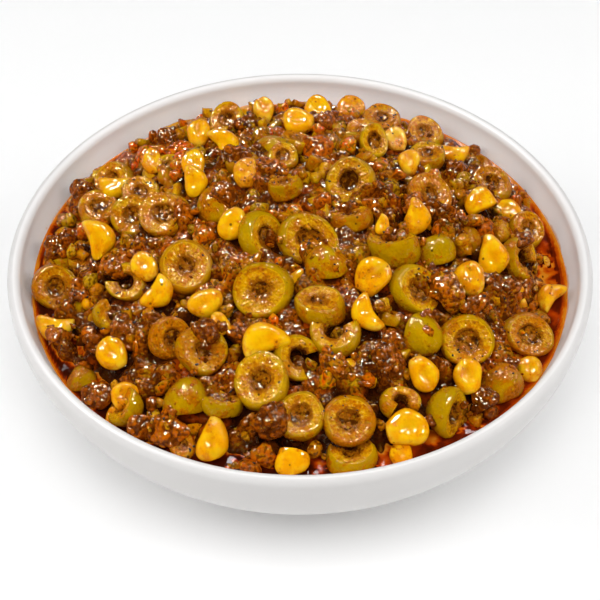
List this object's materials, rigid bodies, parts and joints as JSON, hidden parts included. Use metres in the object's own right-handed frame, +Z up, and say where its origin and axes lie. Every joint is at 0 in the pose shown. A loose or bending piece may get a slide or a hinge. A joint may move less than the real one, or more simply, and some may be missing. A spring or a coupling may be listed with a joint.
{
  "type": "bowl of olive salad",
  "caption": "Round glazed bowl heaped with olive salad: sliced green olives, sweetcorn and spiced mince in a shallow pool of chilli oil.",
  "frame": {"origin": "middle of the foot ring's base, which is the bottom centre of the bounding box", "axes": "+Z up out of the bowl; the bowl is round about it, and -Y is the side that faces the viewer"},
  "size_m": [0.16, 0.16, 0.0648],
  "materials": {
    "bowl": "gloss white glaze",
    "salad": "moist and oily",
    "oil": "clear dark oil"
  },
  "bodies": {
    "root": {"bowl": "bowl", "salad": "salad", "oil": "oil"}
  },
  "joints": []
}
